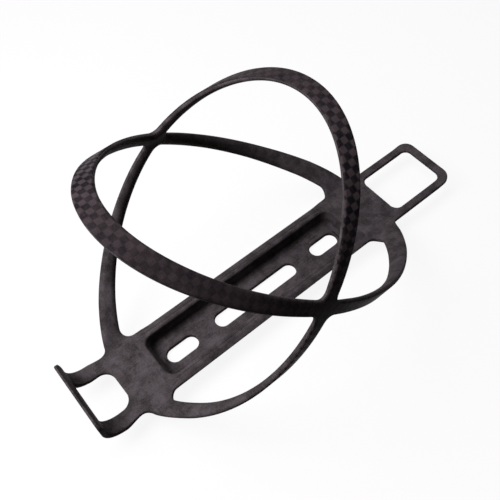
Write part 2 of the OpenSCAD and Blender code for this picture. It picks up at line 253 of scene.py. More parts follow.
lower, upper = loops["lower"], loops["upper"]
fine = np.linspace(halfW, frontS, 120001)
crossS = fine[np.argmin(np.abs(line(lower, fine) - line(upper, fine)))]
apart = (np.abs(line(lower, fine) - line(upper, fine))
         - sum(edge(p, 1, fine) - edge(p, -1, fine) for p in (lower, upper)) / 2)
rearCut = fine[(fine < crossS) & (apart > joinSettings["gap"])].max()
frontCut = fine[(fine > crossS) & (apart > joinSettings["gap"])].min()


def edgeLine(loop, end, s, inset=0.0):
    # The edge as (x, s) points.
    return np.stack([edge(loop, end, s, inset), s], 1)


def edgeEnd(loop, end, s, inset=0.0, step=0.1):
    # Point of an edge, and the way that it runs there.
    near = edgeLine(loop, end, s + np.array([0, step, -step]), inset)
    return near[0], near[1] - near[2]


def crossFlat(u, v):
    # Cross product of flat vectors: u0 v1 - u1 v0.
    return u[..., 0] * v[..., 1] - u[..., 1] * v[..., 0]


def notch(a, b, inset=0.0, steps=24):
    # Fillet between two edges, each (loop, end, s): a quadratic curve whose control point is where
    # the edges' tangents meet.
    (p, u), (q, v) = edgeEnd(*a, inset), edgeEnd(*b, inset)
    corner = p + u * crossFlat(q - p, v) / crossFlat(u, v)
    e, f = p - corner, q - corner
    longE, longF = np.linalg.norm(e), np.linalg.norm(f)
    half = math.acos(e @ f / longE / longF) / 2
    most = joinSettings["notchMost"] * min(longE, longF)
    reach = min((joinSettings["notch"] + inset) / math.tan(half), most)
    start, stop = corner + e * reach / longE, corner + f * reach / longF
    w = np.linspace(0, 1, steps + 1)[:, None]
    curve = (1 - w) ** 2 * start + 2 * w * (1 - w) * corner + w ** 2 * stop
    return np.concatenate([[p], curve, [q]])


openings = {
    "windowStart": mouthX - 3.6,
    "tongueBar": 3.0,     # width of the ring round the tongue's window
    "windowInnerR": 3.0,  # corners at the shoulder
    "windowOuterR": 2.7,  # corners at the tongue's end
    "tongueR": 4.2,
    "toeStart": baseX + 4.5,
    "strap": 5.5,         # width of a toe strap
    "toeInnerR": 4.0,
    "toeOuterR": 2.2,     # corners at the shelf
    "shelfR": 2.6,
    "shelfTaper": 4.8,    # the lip thins over this length to its edge
    "shelfThin": 1.15,
    "flareStart": baseX + 4.4,
    "flareLength": 6.0,
    "straight": 4.0,      # a strap has its full width by this far before the bend
}
toeHalf = shelfHigh[1]
flareEnd = toeBendX - openings["straight"]


def cornerArc(x0, x1, y, r, steps=10):
    # Round of radius r from the side at y, which comes from x0, to the end at x1: (sin a, cos a).
    a = np.linspace(0, math.pi / 2, steps + 1)
    return np.stack([x1 + math.copysign(r, x1 - x0) * (np.sin(a) - 1), y + r * (np.cos(a) - 1)], 1)


def bothSides(half):
    # A half outline with y > 0 from one end to the middle, and its mirror image back.
    return np.concatenate([half, half[::-1] * [1, -1]])


bar = openings["tongueBar"]
windowY, toeY = halfW - bar, toeHalf - openings["strap"]
windowEnd = tongueEnd - bar
windowStart, toeStart = openings["windowStart"], openings["toeStart"]
windowInner = cornerArc(windowEnd, windowStart, windowY, openings["windowInnerR"])
windowOuter = cornerArc(windowStart, windowEnd, windowY, openings["windowOuterR"])
tongueCorner = cornerArc(0, tongueEnd, halfW, openings["tongueR"], 14)
toeInner = cornerArc(toeEnd, toeStart, toeY, openings["toeInnerR"])
toeOuter = cornerArc(toeStart, shelfStart, toeY, openings["toeOuterR"])
shelfCorner = cornerArc(0, toeEnd, toeHalf, openings["shelfR"], 12)


def smoothStep(t):
    # 3t^2 - 2t^3, from 0 to 1 and level at both ends.
    t = np.clip(t, 0, 1)
    return 3 * t ** 2 - 2 * t ** 3


def flare(x):
    # How wide the toe is: it widens past the shoulder on a smooth step.
    return halfW + (toeHalf - halfW) * smoothStep((openings["flareStart"] - x) / openings["flareLength"])


def flarePoints(a, b, step=0.35):
    # The widening side between two x, as (x, s) points.
    x = np.linspace(a, b, max(2, int(abs(b - a) / step) + 1))
    return np.stack([x, flare(x)], 1)


def spaced(a, b, step=0.8):
    # Even values or points from a to b, at most a step apart.
    return np.linspace(a, b, max(2, math.ceil(np.linalg.norm(np.subtract(b, a)) / step) + 1))


rowStep = 0.9         # between rows of points along a loop, but closer by the roots
rootSpan = 2 * joinSettings["rootInner"]
armRows = np.concatenate([halfW + rootSpan * np.linspace(0, 1, 22) ** 2,
                          spaced(halfW + rootSpan, rearCut, rowStep)[1:]])
frontRows = spaced(frontCut, 2 * frontS - frontCut, rowStep)
frontHalfRows = spaced(frontCut, frontS + 4, 0.4)     # past the middle, for the points near it
rootX = {(k, end): float(edge(loops[k], end, np.array(halfW))) for k in loops for end in (-1, 1)}
notches = {
    "rear": ((upper, 1, rearCut), (lower, -1, rearCut)),
    "mouth": ((lower, 1, rearCut), (upper, 1, frontCut)),
    "front": ((upper, -1, frontCut), (lower, 1, frontCut)),
    "base": ((lower, -1, frontCut), (upper, -1, rearCut)),
}


def freeEdges():
    # Every free edge of the sheet, as lines of (x, s) points.
    half = [edgeLine(loops[k], end, rows) for k in loops for end in (-1, 1)
            for rows in (armRows, frontHalfRows)]
    half += [notch(*pair) for pair in notches.values()]
    half += [
        np.array([[rootX["upper", 1], halfW], [rootX["lower", -1], halfW]]),
        np.concatenate([[[rootX["lower", 1], halfW]], tongueCorner, [[tongueEnd, 0]]]),
        np.concatenate([[[rootX["upper", -1], halfW]], flarePoints(openings["flareStart"], flareEnd),
                        shelfCorner, [[toeEnd, 0]]]),
        np.concatenate([[[windowStart, 0]], windowInner[::-1], windowOuter, [[windowEnd, 0]]]),
        np.concatenate([[[toeStart, 0]], toeInner[::-1], toeOuter, [[shelfStart, 0]]]),
    ]
    both = half + [p * [1, -1] for p in half]
    return np.concatenate([np.stack([p[:-1], p[1:]], 1) for p in both])


outline = freeEdges()


def nearest(points, segments):
    # Distance from each point to the nearest of the segments.
    best = np.full(len(points), 1e9)
    a, ab = segments[:, 0], segments[:, 1] - segments[:, 0]
    length = np.maximum((ab ** 2).sum(1), 1e-12)
    for first in range(0, len(points), 2000):
        p = points[first:first + 2000, None] - a
        t = np.clip((p * ab).sum(2) / length, 0, 1)
        gap = p - t[..., None] * ab
        best[first:first + 2000] = np.sqrt((gap ** 2).sum(2).min(1))
    return best


def edgesNear(points, margin):
    # The free edges' segments that come within a margin of the points' box.
    low, high = points.min(0) - margin, points.max(0) + margin
    return outline[(outline.max(1) > low).all(1) & (outline.min(1) < high).all(1)]


def inset(points):
    # Distance in the sheet to the nearest free edge. The front is symmetric about its middle.
    p = points.copy()
    p[:, 1] = mirrorS(p[:, 1])
    return nearest(p, edgesNear(p, 3))


edgeWide, edgeDeep = sheet["edgeWide"], sheet["edgeDeep"]
rimSteps = edgeWide * (1 - np.cos(np.radians(np.arange(0, 91, 15))))
rimSteps = np.append(rimSteps, edgeWide + 0.25)    # a flat ring inside keeps the shading clean
dome = {
    "wide": 1.9,        # a loop's crowned inner face falls over this width to its edge
    "deep": 0.85,
    "outerWide": 0.35,  # narrow round on its flat outer face
    "outerDeep": 0.25,
    "grow": 9.0,        # length over which an arm takes this shape
    "rings": (0, 0.06, 0.16, 0.35, 0.7, 1.1, 1.5, 1.8),    # rows of points, in from the edge
    "between": 5,       # and even rows between those of the two edges
    "lattice": 0.55,    # between the points that fill a crossing
}
domeSteps = np.array(dome["rings"])


def halfThick(d):
    # Half thickness at d from a free edge: a quarter ellipse, then flat.
    t = np.clip(d / edgeWide, 0, 1)
    return thick / 2 - edgeDeep + edgeDeep * np.sqrt(1 - (1 - t) ** 2)


def loopFaces(flat):
    # Inner and outer height of a loop: as halfThick by the back plate, and away from it a crowned
    # inner face, down by deep (1 - d / wide)^2, and a flat outer one with a narrow round.
    d = inset(flat)
    grow = smoothStep((np.abs(mirrorS(flat[:, 1])) - halfW) / dome["grow"])
    plain = halfThick(d)
    crown = thick / 2 - dome["deep"] * (1 - np.clip(d / dome["wide"], 0, 1)) ** 2
    crisp = thick / 2 - dome["outerDeep"] * (1 - np.clip(d / dome["outerWide"], 0, 1)) ** 2
    return plain + (crown - plain) * grow, -(plain + (crisp - plain) * grow)


def across(p, q, between, rim=rimSteps):
    # Points from p to q, close together where the rounded edges are and even between them.
    w = np.linspace(0, 1, 161)
    p, q = np.asarray(p, float), np.asarray(q, float)
    d = inset(p + (q - p) * w[:, None])
    half = len(w) // 2
    left = np.interp(rim, np.maximum.accumulate(d[:half]), w[:half])
    right = 1 - np.interp(rim, np.maximum.accumulate(d[:half:-1]), w[:half])
    left[0], right[0] = 0, 1
    steps = np.concatenate([left, np.linspace(left[-1], right[-1], between + 2)[1:-1], right[::-1]])
    return p + (q - p) * steps[:, None]


print("outline has", len(outline), "segments")


def gridFaces(rows, columns, closed=False):
    # Quads of a grid, anticlockwise in (column, row).
    i, j = np.meshgrid(np.arange(rows - 1), np.arange(columns if closed else columns - 1), indexing="ij")
    here, there = i * columns, (i + 1) * columns
    k = (j + 1) % columns
    return np.stack([here + j, here + k, there + k, there + j], -1).reshape(-1, 4)


def weld(points, faces, flat):
    # Merges points at the same place and drops faces that this closes up.
    _, first, same = np.unique(np.round(points, 4), axis=0, return_index=True, return_inverse=True)
    same = same.reshape(-1)
    kept, keptFlat = [], []
    for face, isFlat in zip(faces, flat):
        f = [int(same[i]) for i in face]
        f = [v for n, v in enumerate(f) if v != f[n - 1]]
        if len(f) > 2 and len(set(f)) == len(f):
            kept.append(f)
            keptFlat.append(isFlat)
    return first, kept, keptFlat


def addMesh(name, points, lay, faces, flat):
    # Makes the piece. lay keeps each point's place on the sheet for the patterns.
    first, faces, flat = weld(points, faces, flat)
    mesh = bpy.data.meshes.new(name)
    mesh.from_pydata((points[first] * mm).tolist(), [], faces)
    mesh.polygons.foreach_set("use_smooth", [not f for f in flat])
    mesh.attributes.new("lay", "FLOAT_VECTOR", "POINT").data.foreach_set(
        "vector", lay[first].astype(np.float32).ravel())
    mesh.update()
    loopEdges = np.empty(len(mesh.loops), np.int32)
    mesh.loops.foreach_get("edge_index", loopEdges)
    sharp = np.zeros(len(mesh.edges), bool)
    sharp[loopEdges[np.repeat(flat, [len(f) for f in faces])]] = True     # round the cut ends
    mesh.attributes.new("sharp_edge", "BOOLEAN", "EDGE").data.foreach_set("value", sharp)
    piece = bpy.data.objects.new(name, mesh)
    link(piece)
    return piece


def slab(name, flat, faces, rim, cap, low, high, side=1):
    # Closed patch of the sheet: one face at height high, one at low, and a wall round the rim.
    # side = -1 mirrors it to the right.
    flat = flat * [1, side]
    faces = [list(f)[::side] for f in faces]
    rim = rim[:, ::side]
    n = len(flat)
    points = np.concatenate([place(flat, high), place(flat, low)])
    walls = np.stack([rim[:, 0] + n, rim[:, 1] + n, rim[:, 1], rim[:, 0]], 1)
    lay = np.concatenate([np.column_stack([flat, high]), np.column_stack([flat, low])])
    allFaces = faces + [[i + n for i in f[::-1]] for f in faces] + walls.tolist()
    flags = [False] * (2 * len(faces)) + cap.tolist()
    return addMesh(name, points, lay, allFaces, flags)


def gridPatch(rows):
    # Flat points, faces, rim and caps of a patch given as rows of points.
    r, c = rows.shape[:2]
    i = np.arange(r * c).reshape(r, c)
    loop = np.concatenate([i[0], i[1:, -1], i[-1, -2::-1], i[-2:0:-1, 0]])
    rim = np.stack([loop, np.roll(loop, -1)], 1)
    cap = np.zeros(len(loop), bool)
    cap[:c - 1] = True
    cap[c - 1 + r - 1:2 * (c - 1) + r - 1] = True
    return rows.reshape(-1, 2), gridFaces(r, c), rim, cap


def isInside(points, loop):
    # Even-odd test against one closed loop.
    a, b = loop, np.roll(loop, -1, 0)
    x, y = points[:, :1], points[:, 1:]
    crosses = (a[:, 1] > y) != (b[:, 1] > y)
    run = np.where(np.abs(b[:, 1] - a[:, 1]) < 1e-12, 1e-12, b[:, 1] - a[:, 1])
    return ((crosses & (x < (b[:, 0] - a[:, 0]) * (y - a[:, 1]) / run + a[:, 0])).sum(1) % 2) == 1


fill = {
    "spread": 0.45,       # between points along a ring
    "merge": 0.06,        # points about this close become one
    "slack": 0.004,       # a ring's point has to lie as deep as it should, to this
    "slackShare": 0.08,   # and this share of its depth
    "seamGap": 0.14,      # between a ring's end and a seam
    "gridGap": 0.6,       # between the last ring and the lattice, as a share of the lattice's step
    "gridSeamGap": 0.45,  # and between the lattice and a seam
}


def filledPatch(stretches, step, rimAt=rimSteps):
    # Patch bounded by stretches of points, each (points, isSeam): rings of points follow the free
    # edges at the rounding's steps, an even lattice fills the rest, and triangles join them.
    loop = np.concatenate([p[:-1] for p, _ in stretches])
    seam = np.concatenate([np.full(len(p) - 1, isSeam) for p, isSeam in stretches])
    if crossFlat(loop, np.roll(loop, -1, 0)).sum() < 0:
        loop, seam = loop[::-1], np.roll(seam[::-1], -1)
    seams = np.stack([loop, np.roll(loop, -1, 0)], 1)[seam]
    low, high = loop.min(0), loop.max(0)
    a, b = edgesNear(loop, 1.5).transpose(1, 0, 2)
    along = np.linalg.norm(b - a, axis=1)
    a, b, along = (q[along > 1e-6] for q in (a, b, along))
    way = (b - a) / along[:, None]
    base, tangent = [a + (b - a) * 0.5], [way]
    for n in range(int(along.max() / fill["spread"]) + 1):
        w = (n + 0.5) * fill["spread"] / along
        keep = w < 1
        base.append(a[keep] + (b - a)[keep] * w[keep, None])
        tangent.append(way[keep])
    base, tangent = np.concatenate(base), np.concatenate(tangent)
    normal = np.stack([-tangent[:, 1], tangent[:, 0]], 1)
    rings = np.concatenate([base + normal * d * w for d in rimAt[1:] for w in (-1, 1)])
    depths = np.concatenate([np.full(2 * len(base), d) for d in rimAt[1:]])
    grid = np.stack(np.meshgrid(np.arange(low[0], high[0], step), np.arange(low[1], high[1], step),
                                indexing="ij"), -1)
    grid[1::2, :, 1] += step / 2
    grid = grid.reshape(-1, 2)
    points = np.concatenate([rings, grid])
    wanted = np.concatenate([depths, np.full(len(grid), rimAt[-1] + step * fill["gridGap"])])
    isRing = np.arange(len(points)) < len(rings)
    d = inset(points)
    slack = fill["slackShare"] * wanted + fill["slack"]
    good = isInside(points, loop) & np.where(isRing, np.abs(d - wanted) < slack, d > wanted)
    if len(seams):
        good &= nearest(points, seams) > np.where(isRing, fill["seamGap"], step * fill["gridSeamGap"])
    points = points[good]
    _, first = np.unique(np.round(points / fill["merge"]), axis=0, return_index=True)
    points = np.concatenate([loop, points[np.sort(first)]])
    n = len(loop)
    rim = [(i, (i + 1) % n) for i in range(n)]
    verts, _, tris, origin, _, _ = delaunay_2d_cdt([tuple(p) for p in points], rim, [], 0, 1e-7)
    flat, tris = np.array([tuple(v) for v in verts]), np.array(tris)
    tris = tris[isInside(flat[tris].mean(1), loop)]
    number = {old: new for new, olds in enumerate(origin) for old in olds}
    return flat, tris, np.array([[number[i], number[j]] for i, j in rim]), seam


def finish(piece, node, material):
    # Gives a piece its material, and lets it stand for a node of the cage and move with it.
    piece.data.materials.append(material)
    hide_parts(node)
    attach(piece, "root")


def linearHex(text):
    # An sRGB colour as linear red, green, blue and alpha.
    channels = np.array([int(text[i:i + 2], 16) for i in (1, 3, 5)]) / 255
    straight = np.where(channels <= 0.04045, channels / 12.92, ((channels + 0.055) / 1.055) ** 2.4)
    return (*straight.tolist(), 1.0)


def addNode(tree, kind, inputs=(), **settings):
    # One node with its settings. Its inputs are a dictionary, or are filled in order, each with a
    # value, an output, or a node whose first output feeds it.
    node = tree.nodes.new("ShaderNode" + kind)
    for key, value in settings.items():
        setattr(node, key, value)
    for key, value in (inputs.items() if isinstance(inputs, dict) else enumerate(inputs)):
        if isinstance(value, bpy.types.Node):
            value = value.outputs[0]
        if isinstance(value, bpy.types.NodeSocket):
            tree.links.new(value, node.inputs[key])
        else:
            node.inputs[key].default_value = value
    return node


def newMaterial(name):
    # An empty material, and what adds a node to it.
    material = bpy.data.materials.new(name)
    material.use_nodes = True
    material.node_tree.nodes.clear()
    return material, partial(addNode, material.node_tree)


def scaledLay(node, size):
    # The place on the sheet, with each of its lengths in mm divided by a size in mm.
    lay = node("Attribute", attribute_name="lay").outputs["Vector"]
    scale = [1 / v for v in size] + [0.0] * (3 - len(size))
    return node("VectorMath", (lay, scale), operation="MULTIPLY")


softly = {"interpolation_type": "SMOOTHSTEP"}


def layered(node, start, layers):
    # start, and (pattern - 0.5) times its share for each pattern.
    for pattern, share in layers:
        swing = node("Math", (pattern, 0.5), operation="SUBTRACT")
        start = node("Math", (swing, share, start), operation="MULTIPLY_ADD")
    return start


def surface(node, look, colour, rough, height):
    # What both materials end in: a colour and a roughness, with a fine relief.
    bump = node("Bump", {"Strength": 0.5, "Distance": look["relief"] * mm, "Height": height})
    shader = node("BsdfPrincipled", {"Base Color": colour.outputs[2], "Roughness": rough, "Normal": bump,
                                     "IOR": 1.5, "Specular IOR Level": look["specular"]})
    node("OutputMaterial", {"Surface": shader})


laminateLook = {
    "dark": "#181615",
    "light": "#5c595b",
    "speck": "#7d757b",  # dry resin caught in the tool's texture
    "fibreWide": 0.3,    # a streak of filaments, mm: single ones are 0.007 and would not show
    "fibreLong": 9.0,
    "mottle": 5.0,       # a cloud of thicker resin, mm
    "grit": 0.4,         # the tool's own grain, mm
    "cloudRange": (0.34, 0.68),
    "speckRange": (0.71, 0.76),
    "roughRange": (0.3, 0.7),
    "base": 0.49,        # share of the light colour where all three patterns are middling
    "cloudShare": 0.42,  # and how far each moves it
    "fibreShare": 0.5,
    "gritShare": 0.75,
    "speckShare": 0.7,
    "roughness": (0.4, 0.62),
    "cloudHeight": 0.8,  # share of the relief
    "fibreHeight": 0.2,
    "relief": 0.06,      # mm
    "specular": 0.008,   # the dry resin mirrors next to nothing
}


def laminateMaterial(name, alongX):
    # Unidirectional carbon prepreg pressed in a matt tool: dark grey with a faint silk along the
    # fibres, cloudy where the resin is thicker, and no gloss.
    k = laminateLook
    material, node = newMaterial(name)
    streak = (k["fibreLong"], k["fibreWide"]) if alongX else (k["fibreWide"], k["fibreLong"])
    fibres, clouds, grit = [
        node("TexNoise", {"Vector": scaledLay(node, size), "Scale": 1.0, "Detail": detail,
                          "Roughness": rough})
        for size, detail, rough in ((streak, 2.0, 0.6), ([k["mottle"]] * 3, 6.0, 0.66),
                                    ([k["grit"]] * 3, 2.0, 0.7))]
    patches = node("MapRange", (clouds, *k["cloudRange"]), **softly)
    tone = layered(node, k["base"], ((patches, k["cloudShare"]), (fibres, k["fibreShare"]),
                                     (grit, k["gritShare"])))
    colour = node("Mix", {0: tone, 6: linearHex(k["dark"]), 7: linearHex(k["light"])}, data_type="RGBA")
    speck = node("MapRange", (grit, *k["speckRange"], 0.0, k["speckShare"]), **softly)
    colour = node("Mix", {0: speck, 6: colour.outputs[2], 7: linearHex(k["speck"])}, data_type="RGBA")
    rough = node("MapRange", (clouds, *k["roughRange"], *k["roughness"]), **softly)
    height = layered(node, 0.0, ((fibres, k["fibreHeight"]), (clouds, k["cloudHeight"])))
    surface(node, k, colour, rough, height)
    return material


weaveLook = {
    "tow": 1.8,                # width of one woven bundle, mm
    "lengthways": "#0e0f13",
    "crossways": "#3f393a",
    "thread": 0.22,            # threads within a bundle, mm: drawn coarser than the filaments
    "threadLong": 6.0,
    "cloud": 3.0,
    "grain": 0.3,
    "overRange": (-0.3, 0.2),  # how soft the squares' edges are
    "threadShare": 0.4,        # how far each pattern moves the colour towards lengthways
    "grainShare": -0.6,
    "cloudShare": -0.8,
    "fadeSize": (32.0, 45.0),  # the checks fade over these lengths along the bottle and round it, mm
    "fadeMiddle": 0.33,
    "fadeRange": (-0.3, 0.75),
    "contrast": (0.25, 1.0),   # of the checks, faded and full
    "roughness": (0.4, 0.52),  # crossways, lengthways
    "crownPower": 0.6,
    "crownHeight": 0.85,       # share of the relief
    "threadHeight": 0.15,
    "relief": 0.05,            # mm
    "specular": 0.012,
}


def weaveMaterial(name):
    # Plain woven carbon cloth under matt resin: squares a bundle wide that turn light or dark with
    # the way their fibres run, each slightly crowned. A square is over or under by the sign of
    # sin(pi x) sin(pi s), in bundles.
    k = weaveLook
    material, node = newMaterial(name)
    cell = node("SeparateXYZ", (scaledLay(node, (k["tow"], k["tow"])),))
    waves, crowns = [], []
    for axis in (0, 1):
        turned = node("Math", (cell.outputs[axis], math.pi), operation="MULTIPLY")
        waves.append(node("Math", (turned,), operation="SINE"))
        crowns.append(node("Math", (waves[-1],), operation="ABSOLUTE"))
    over = node("Math", waves, operation="MULTIPLY")
    over = node("MapRange", (over, *k["overRange"]), **softly)
    crown = node("Mix", {0: over, 2: crowns[1], 3: crowns[0]})
    threadsX, threadsS, clouds, grain = [
        node("TexNoise", {"Vector": scaledLay(node, size), "Scale": 1.0, "Detail": detail})
        for size, detail in (((k["threadLong"], k["thread"]), 1.0), ((k["thread"], k["threadLong"]), 1.0),
                             ([k["cloud"]] * 3, 3.0), ([k["grain"]] * 3, 1.0))]
    threads = node("Mix", {0: over, 2: threadsX, 3: threadsS})

    # The checks fade towards opposite ends of the two front bands.
    fade = node("SeparateXYZ", (scaledLay(node, k["fadeSize"]),))
    pastFront = node("Math", (fade.outputs[1], frontS / k["fadeSize"][1]), operation="SUBTRACT")
    toMouth = node("Math", (fade.outputs[0], k["fadeMiddle"]), operation="ADD")
    fade = node("Math", (toMouth, pastFront), operation="MULTIPLY")
    fade = node("MapRange", (fade, *k["fadeRange"], *k["contrast"]), **softly)

    tone = layered(node, 0.5, ((over, fade), (threads, k["threadShare"]), (grain, k["grainShare"]),
                               (clouds, k["cloudShare"])))
    colour = node("Mix", {0: tone, 6: linearHex(k["crossways"]), 7: linearHex(k["lengthways"])},
                  data_type="RGBA")
    rough = node("MapRange", (tone, 0.0, 1.0, *k["roughness"]), **softly)
    crown = node("Math", (crown, k["crownPower"]), operation="POWER")
    height = layered(node, 0.0, ((threads, k["threadHeight"]), (crown, k["crownHeight"])))
    surface(node, k, colour, rough, height)
    return material


laminate = laminateMaterial("carbon_prepreg_matt_around", False)
flatLaminate = laminateMaterial("carbon_prepreg_matt_along", True)
weave = weaveMaterial("carbon_plain_weave_matt")

wovenSkin = {
    "inset": 0.1,   # the outer cloth stops this far from a loop's edge
    "thick": 0.25,
    "ramp": 0.35,   # and reaches its thickness over this width
    "least": 0.12,  # share of it that stays at the cloth's edge
}


def skinHeights(flat):
    # Outer face of the core, and of the cloth over it, whose thickness ramps up from its edge.
    core = loopFaces(flat)[1]
    ramp = smoothStep(inset(flat) / wovenSkin["ramp"])
    return core, core - wovenSkin["thick"] * np.maximum(ramp, wovenSkin["least"])


def acrossLoop(loop, s, first, edgeInset=0.0):
    # Points straight across a loop at s, from its edge on the first end to the other.
    ends = [edgeLine(loop, e, np.array([s]), edgeInset)[0] for e in (first, -first)]
    return across(*ends, dome["between"], domeSteps)


def bandPatch(loop, rows, edgeInset):
    # Rows of points straight across a loop, from its edge at the bottle's base to the other.
    a, b = (edgeLine(loop, end, mirrorS(rows), edgeInset) for end in (-1, 1))
    a[:, 1] = b[:, 1] = rows
    return gridPatch(np.stack([across(p, q, dome["between"], domeSteps) for p, q in zip(a, b)]))


def crossingPatch(edgeInset):
    # Bounded by four seams with the arms and bands, and a notch between each two.
    cuts = ((upper, rearCut, -1), (lower, rearCut, -1), (upper, frontCut, 1), (lower, frontCut, 1))
    stretches = []
    for cut, pair in zip(cuts, notches.values()):
        stretches += [(acrossLoop(*cut, edgeInset), True), (notch(*pair, edgeInset), False)]
    return filledPatch(stretches, dome["lattice"], domeSteps)


def loopPiece(node, skin, side, makePatch, *about):
    # A stretch of a loop between its two faces, and the cloth over it.
    patch = makePatch(*about, 0.0)
    high, low = loopFaces(patch[0])
    finish(slab(node + "_shape", *patch, low, high, side), node, laminate)
    patch = makePatch(*about, wovenSkin["inset"])
    core, outer = skinHeights(patch[0])
    cloth = slab(skin.replace("skin", "cloth"), *patch, outer, core, side)
    finish(cloth, skin, weave)


for side, word in ((1, "left"), (-1, "right")):
    for where, loop in (("upper", lower), ("lower", upper)):
        name = f"{where}_{word}_arm"
        loopPiece(name, name + "_skin", side, bandPatch, loop, armRows)
    loopPiece(f"{word}_crossing", f"{word}_crossing_skin", side, crossingPatch)
for where, loop in (("upper", upper), ("lower", lower)):
    loopPiece(f"{where}_front_band", f"{where}_band_skin", 1, bandPatch, loop, frontRows)
print("loops made")


def rootSeam(loop, first, plateEnd):
    # A shoulder's seam with an arm, from the plate's end. The fillet's foot may reach past it.
    seam = acrossLoop(loop, halfW, first)
    start = np.array([[plateEnd, halfW]])
    return np.concatenate([start, seam[np.abs(seam[:, 0]) > abs(plateEnd) + 0.05]])


def through(a, arc, b):
    # Straight from a to an arc, along it, and straight on to b.
    return np.concatenate([spaced(a, arc[0])[:-1], arc, spaced(arc[-1], b)[1:]])


def withMirror(half):
    # A loop from the stretches of its left half, which start and end on the middle line.
    return half + [(p[::-1] * [1, -1], isSeam) for p, isSeam in half[::-1]]


upperShoulder = withMirror([
    (spaced((plateHigh[0], 0), (plateHigh[0], halfW), 0.6), True),
    (rootSeam(lower, -1, plateHigh[0]), True),
    (spaced((rootX["lower", 1], halfW), (mouthX, halfW)), False),
    (across((mouthX, halfW), (mouthX, windowY), 1), True),
    (np.concatenate([spaced((mouthX, windowY), windowInner[0])[:-1], windowInner,
                     [[windowStart, 0]]]), False),
])
tongue = [
    (across((mouthX, windowY), (mouthX, halfW), 1), True),
    (bothSides(through((mouthX, halfW), tongueCorner, (tongueEnd, 0))), False),
    (across((mouthX, -halfW), (mouthX, -windowY), 1), True),
    (bothSides(through((mouthX, windowY), windowOuter, (windowEnd, 0)))[::-1], False),
]
strapSeam = across((baseX, float(flare(baseX))), (baseX, toeY), 3)
lowerShoulder = withMirror([
    (spaced((plateLow[0], 0), (plateLow[0], halfW), 0.6), True),
    (rootSeam(upper, 1, plateLow[0]), True),
    (np.concatenate([[[rootX["upper", -1], halfW]], flarePoints(openings["flareStart"], baseX)]), False),
    (strapSeam, True),
    (np.concatenate([spaced((baseX, toeY), toeInner[0])[:-1], toeInner, [[toeStart, 0]]]), False),
])
shelfSeam = across((shelfStart, toeHalf), toeOuter[-1], 4)
strap = [
    (strapSeam[::-1], True),
    (np.concatenate([flarePoints(baseX, flareEnd)[:-1],
                     spaced((flareEnd, toeHalf), (shelfStart, toeHalf), 0.5)]), False),
    (shelfSeam, True),
    (np.concatenate([toeOuter[::-1][:-1], spaced(toeOuter[0], (baseX, toeY), 0.5)]), False),
]
shelf = withMirror([
    (spaced((shelfStart, 0), toeOuter[-1]), False),
    (shelfSeam[::-1], True),
    (through((shelfStart, toeHalf), shelfCorner, (toeEnd, 0)), False),
])


def flatPiece(node, stretches, step, side=1):
    # A patch of even thickness, but for the toe's lip, which thins on its inner side.
    patch = filledPatch(stretches, step)
    h = halfThick(inset(patch[0]))
    left = 1 - np.clip((patch[0][:, 0] - toeEnd) / openings["shelfTaper"], 0, 1)
    inner = np.minimum(h, thick / 2 - openings["shelfThin"] * left ** 2)
    finish(slab(node + "_shape", *patch, -h, inner, side), node, flatLaminate)


flatPiece("upper_shoulder", upperShoulder, 1.0)
flatPiece("lower_shoulder", lowerShoulder, 1.0)
flatPiece("tongue_loop", tongue, 0.6)
flatPiece("toe_left_strap", strap, 0.5)
flatPiece("toe_right_strap", strap, 0.5, -1)
flatPiece("toe_shelf", shelf, 0.6)
print("shoulders, tongue and toe made")

pocket = {
    "sideLand": 4.2,    # pocket's inner wall to the plate's edge
    "endLand": 3.0,
    "cornerR": 3.0,
    "wallAngle": 84.0,  # degrees from flat
    "baseAngle": 72.0,  # the wall at the bottle's base slopes more
    "wallOut": 0.1,     # half way up, a wall stands this far outside the pocket's outline
    "baseOut": -0.05,
    "footR": 1.4,
    "rimR": 0.9,
    "backR": 0.7,       # rounding under the floor's edge
    "backRimR": 0.6,
    "divide": 21.9,     # between the middle slot and a bolt slot
    "rollWide": 1.7,    # the long edges slope down further than the others
    "rollDeep": 1.0,
    "rollPower": 1.3,
    "rollFade": 5.0,    # and back to the usual rounding over this length
    "rollEnd": 2.0,     # which stops this far from the plate's ends
    "grooveIn": 0.3,    # crease round the pocket, out from its rim
    "grooveWide": 0.3,  # half its width
    "grooveDeep": 0.22,
    "edgeRings": (1.15, 1.4, 1.65, 1.9, 2.1),    # more rows of points, in from the plate's edge
    "rimRings": (0.6, 0.45, 0.3, 0.15),          # and out from the pocket's rim
}
slots = {
    "pitch": 64.0,  # between the two bolt slots
    "boltLength": 12.0,
    "middleLength": 35.6,
    "width": 5.6,
    "rimR": 0.4,
    "backR": 0.25,
}


